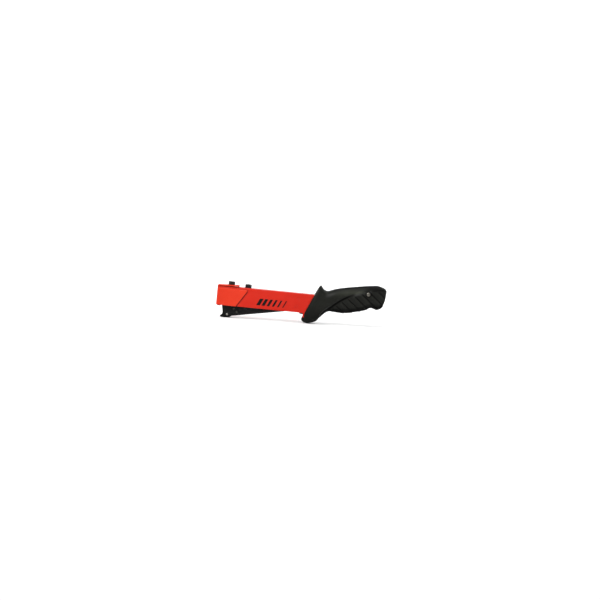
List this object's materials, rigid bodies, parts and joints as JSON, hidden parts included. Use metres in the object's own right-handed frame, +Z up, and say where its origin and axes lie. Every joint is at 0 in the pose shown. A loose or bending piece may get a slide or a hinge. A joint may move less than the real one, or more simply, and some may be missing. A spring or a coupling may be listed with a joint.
{
  "type": "hammer tacker staple gun",
  "caption": "Swung staple gun: pressed steel body with bolted head, sprung magazine hanging open under it, drop-down staple rail and a two-part moulded grip.",
  "frame": {"origin": "centre of the footprint, on the floor that the toe and the grip lobe stand on", "axes": "+X along the tool from nose to butt, +Y across it, +Z up"},
  "size_m": [0.3126, 0.0333, 0.0788],
  "materials": {
    "red_paint": "red powder coat, semi gloss",
    "black_steel": "black lacquered pressed steel",
    "black_oxide": "black oxide steel",
    "hard_steel": "ground hardened steel",
    "spring_steel": "oiled spring wire",
    "zinc_steel": "bright zinc plate",
    "dark_steel": "phosphated steel block",
    "stop_rubber": "solid black rubber",
    "grip_plastic": "black moulded nylon",
    "grip_rubber": "soft black overmoulding"
  },
  "bodies": {
    "tool_body": {"body_channel": "red_paint", "magazine_pin": "red_paint", "hang_pin": "red_paint", "head_cover": "red_paint", "striker_block": "dark_steel", "driver_blade": "hard_steel", "blade_rivets": "zinc_steel", "head_nuts": "black_oxide", "head_bolts": "black_oxide", "nut_washers": "black_oxide", "spring_cup": "zinc_steel", "return_spring": "spring_steel", "bump_stop": "stop_rubber", "grip_core": "grip_plastic", "grip_cover": "grip_rubber", "grip_screw": "zinc_steel", "grip_nut": "zinc_steel"},
    "magazine": {"magazine_channel": "black_steel", "spring_seat": "black_steel", "nose_block": "black_steel", "nose_rivets": "zinc_steel", "rail_pin": "zinc_steel", "pivot_bush": "zinc_steel", "latch_spring": "spring_steel"},
    "rail": {"staple_rail": "black_oxide", "guide_rod": "hard_steel", "follower_spring": "spring_steel"},
    "staple_follower": {"follower": "black_oxide"},
    "latch": {"rail_latch": "black_steel"}
  },
  "joints": [
    {"name": "magazine_swing", "type": "hinge", "parent": "tool_body", "child": "magazine", "pos_m": [-0.00914, 0, 0.02946], "axis": [0, 1, 0], "range_deg": [0, 7], "stiffness_Nm_per_rad": 12.6, "springref_deg": -10.03, "deforming": ["return_spring"]},
    {"name": "rail_drop", "type": "hinge", "parent": "magazine", "child": "rail", "pos_m": [-0.1348, 0, 0.00601], "axis": [0, 1, 0], "range_deg": [0, 30]},
    {"name": "follower_slide", "type": "slide", "parent": "rail", "child": "staple_follower", "axis": [0.9872, 0, 0.1596], "range_m": [0, 0.099], "stiffness_N_per_m": 60, "springref_m": -0.06, "deforming": ["follower_spring"]},
    {"name": "latch_press", "type": "hinge", "parent": "magazine", "child": "latch", "pos_m": [-0.00914, 0, 0.02946], "axis": [0, -1, 0], "range_deg": [0, 9], "stiffness_Nm_per_rad": 0.06, "springref_deg": -9.74, "deforming": ["latch_spring"]}
  ]
}
